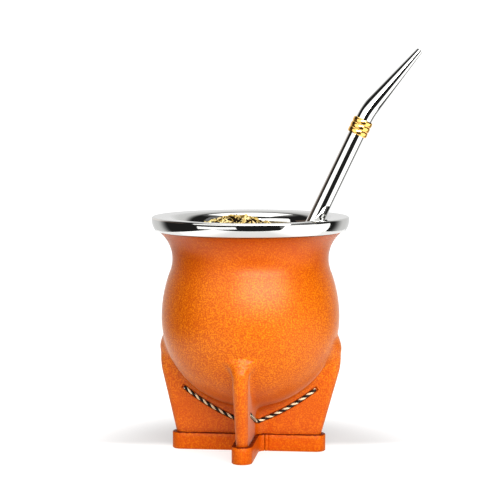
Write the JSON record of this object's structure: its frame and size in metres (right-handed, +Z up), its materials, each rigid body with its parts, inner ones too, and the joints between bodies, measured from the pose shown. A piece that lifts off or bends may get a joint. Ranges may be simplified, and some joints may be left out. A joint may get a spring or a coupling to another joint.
{
  "type": "mate gourd drink",
  "caption": "Leather-covered mate cup on leather fins, with a broad polished steel rim, a heap of dry leaf inside and a bent steel drinking straw with a gilt collar.",
  "frame": {"origin": "on the axis of the cup, at the level of the flat bottom of the four fins", "axes": "+Z up along the axis of the cup; +X the way the straw leans, along one fin; -Y the front, along the fin that faces the viewer"},
  "size_m": [0.129, 0.095, 0.1933],
  "materials": {
    "leather": "smooth orange-tan leather, slightly glossy",
    "strip_leather": "cut strip of the same leather, matt edge",
    "cord": "twisted cord of a cream ply and a near-black ply",
    "steel": "mirror-polished stainless steel",
    "gilt": "polished gilt",
    "leaf": "dry broken leaf and cut twigs"
  },
  "bodies": {
    "root": {"leather_cover": "leather", "foot_strip": "strip_leather", "seam_cord_1": "cord", "seam_cord_2": "cord", "seam_cord_3": "cord", "seam_cord_4": "cord", "steel_cup": "steel", "bombilla": "steel", "bombilla_collar": "gilt", "yerba_heap": "leaf"}
  },
  "joints": []
}
